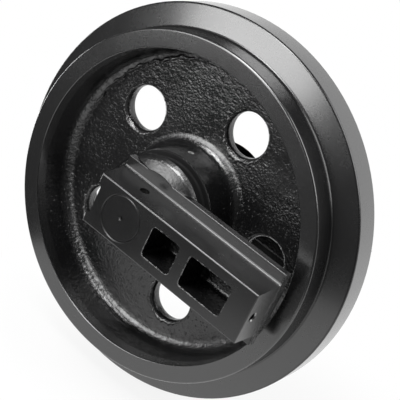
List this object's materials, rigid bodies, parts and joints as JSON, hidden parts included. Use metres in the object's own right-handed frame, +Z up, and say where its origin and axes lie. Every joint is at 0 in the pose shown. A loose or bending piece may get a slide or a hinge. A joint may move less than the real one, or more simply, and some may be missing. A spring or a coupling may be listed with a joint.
{
  "type": "excavator front idler",
  "caption": "Front idler of a tracked excavator: a cast wheel with a centre guide flange and web holes turns on a fixed axle between sliding brackets that bolt to the track tensioner.",
  "frame": {"origin": "centre of the wheel, on the axle's axis and midway between the rim faces", "axes": "+Y along the axle towards the right bracket, +X along the brackets towards the yoke, +Z up"},
  "size_m": [0.4799, 0.27, 0.48],
  "materials": {
    "black_paint": "satin",
    "bush_bronze": "machined",
    "seal_steel": "lapped",
    "plain_steel": "oiled",
    "rubber": "matt"
  },
  "bodies": {
    "carrier": {"axle": "black_paint", "left_bracket": "black_paint", "right_bracket": "black_paint", "left_lock_pin": "plain_steel", "right_lock_pin": "plain_steel", "left_axle_rubber_ring": "rubber", "right_axle_rubber_ring": "rubber", "left_bracket_seal_ring": "seal_steel", "right_bracket_seal_ring": "seal_steel", "left_bracket_rubber_ring": "rubber", "right_bracket_rubber_ring": "rubber"},
    "wheel": {"wheel_casting": "black_paint", "left_bush": "bush_bronze", "right_bush": "bush_bronze", "left_hub_seal_ring": "seal_steel", "right_hub_seal_ring": "seal_steel", "left_hub_rubber_ring": "rubber", "right_hub_rubber_ring": "rubber", "hub_oil_plug": "plain_steel"}
  },
  "joints": [
    {"name": "wheel_spin", "type": "hinge", "parent": "carrier", "child": "wheel", "pos_m": [0, 0, 0], "axis": [0, 1, 0], "continuous": true}
  ]
}
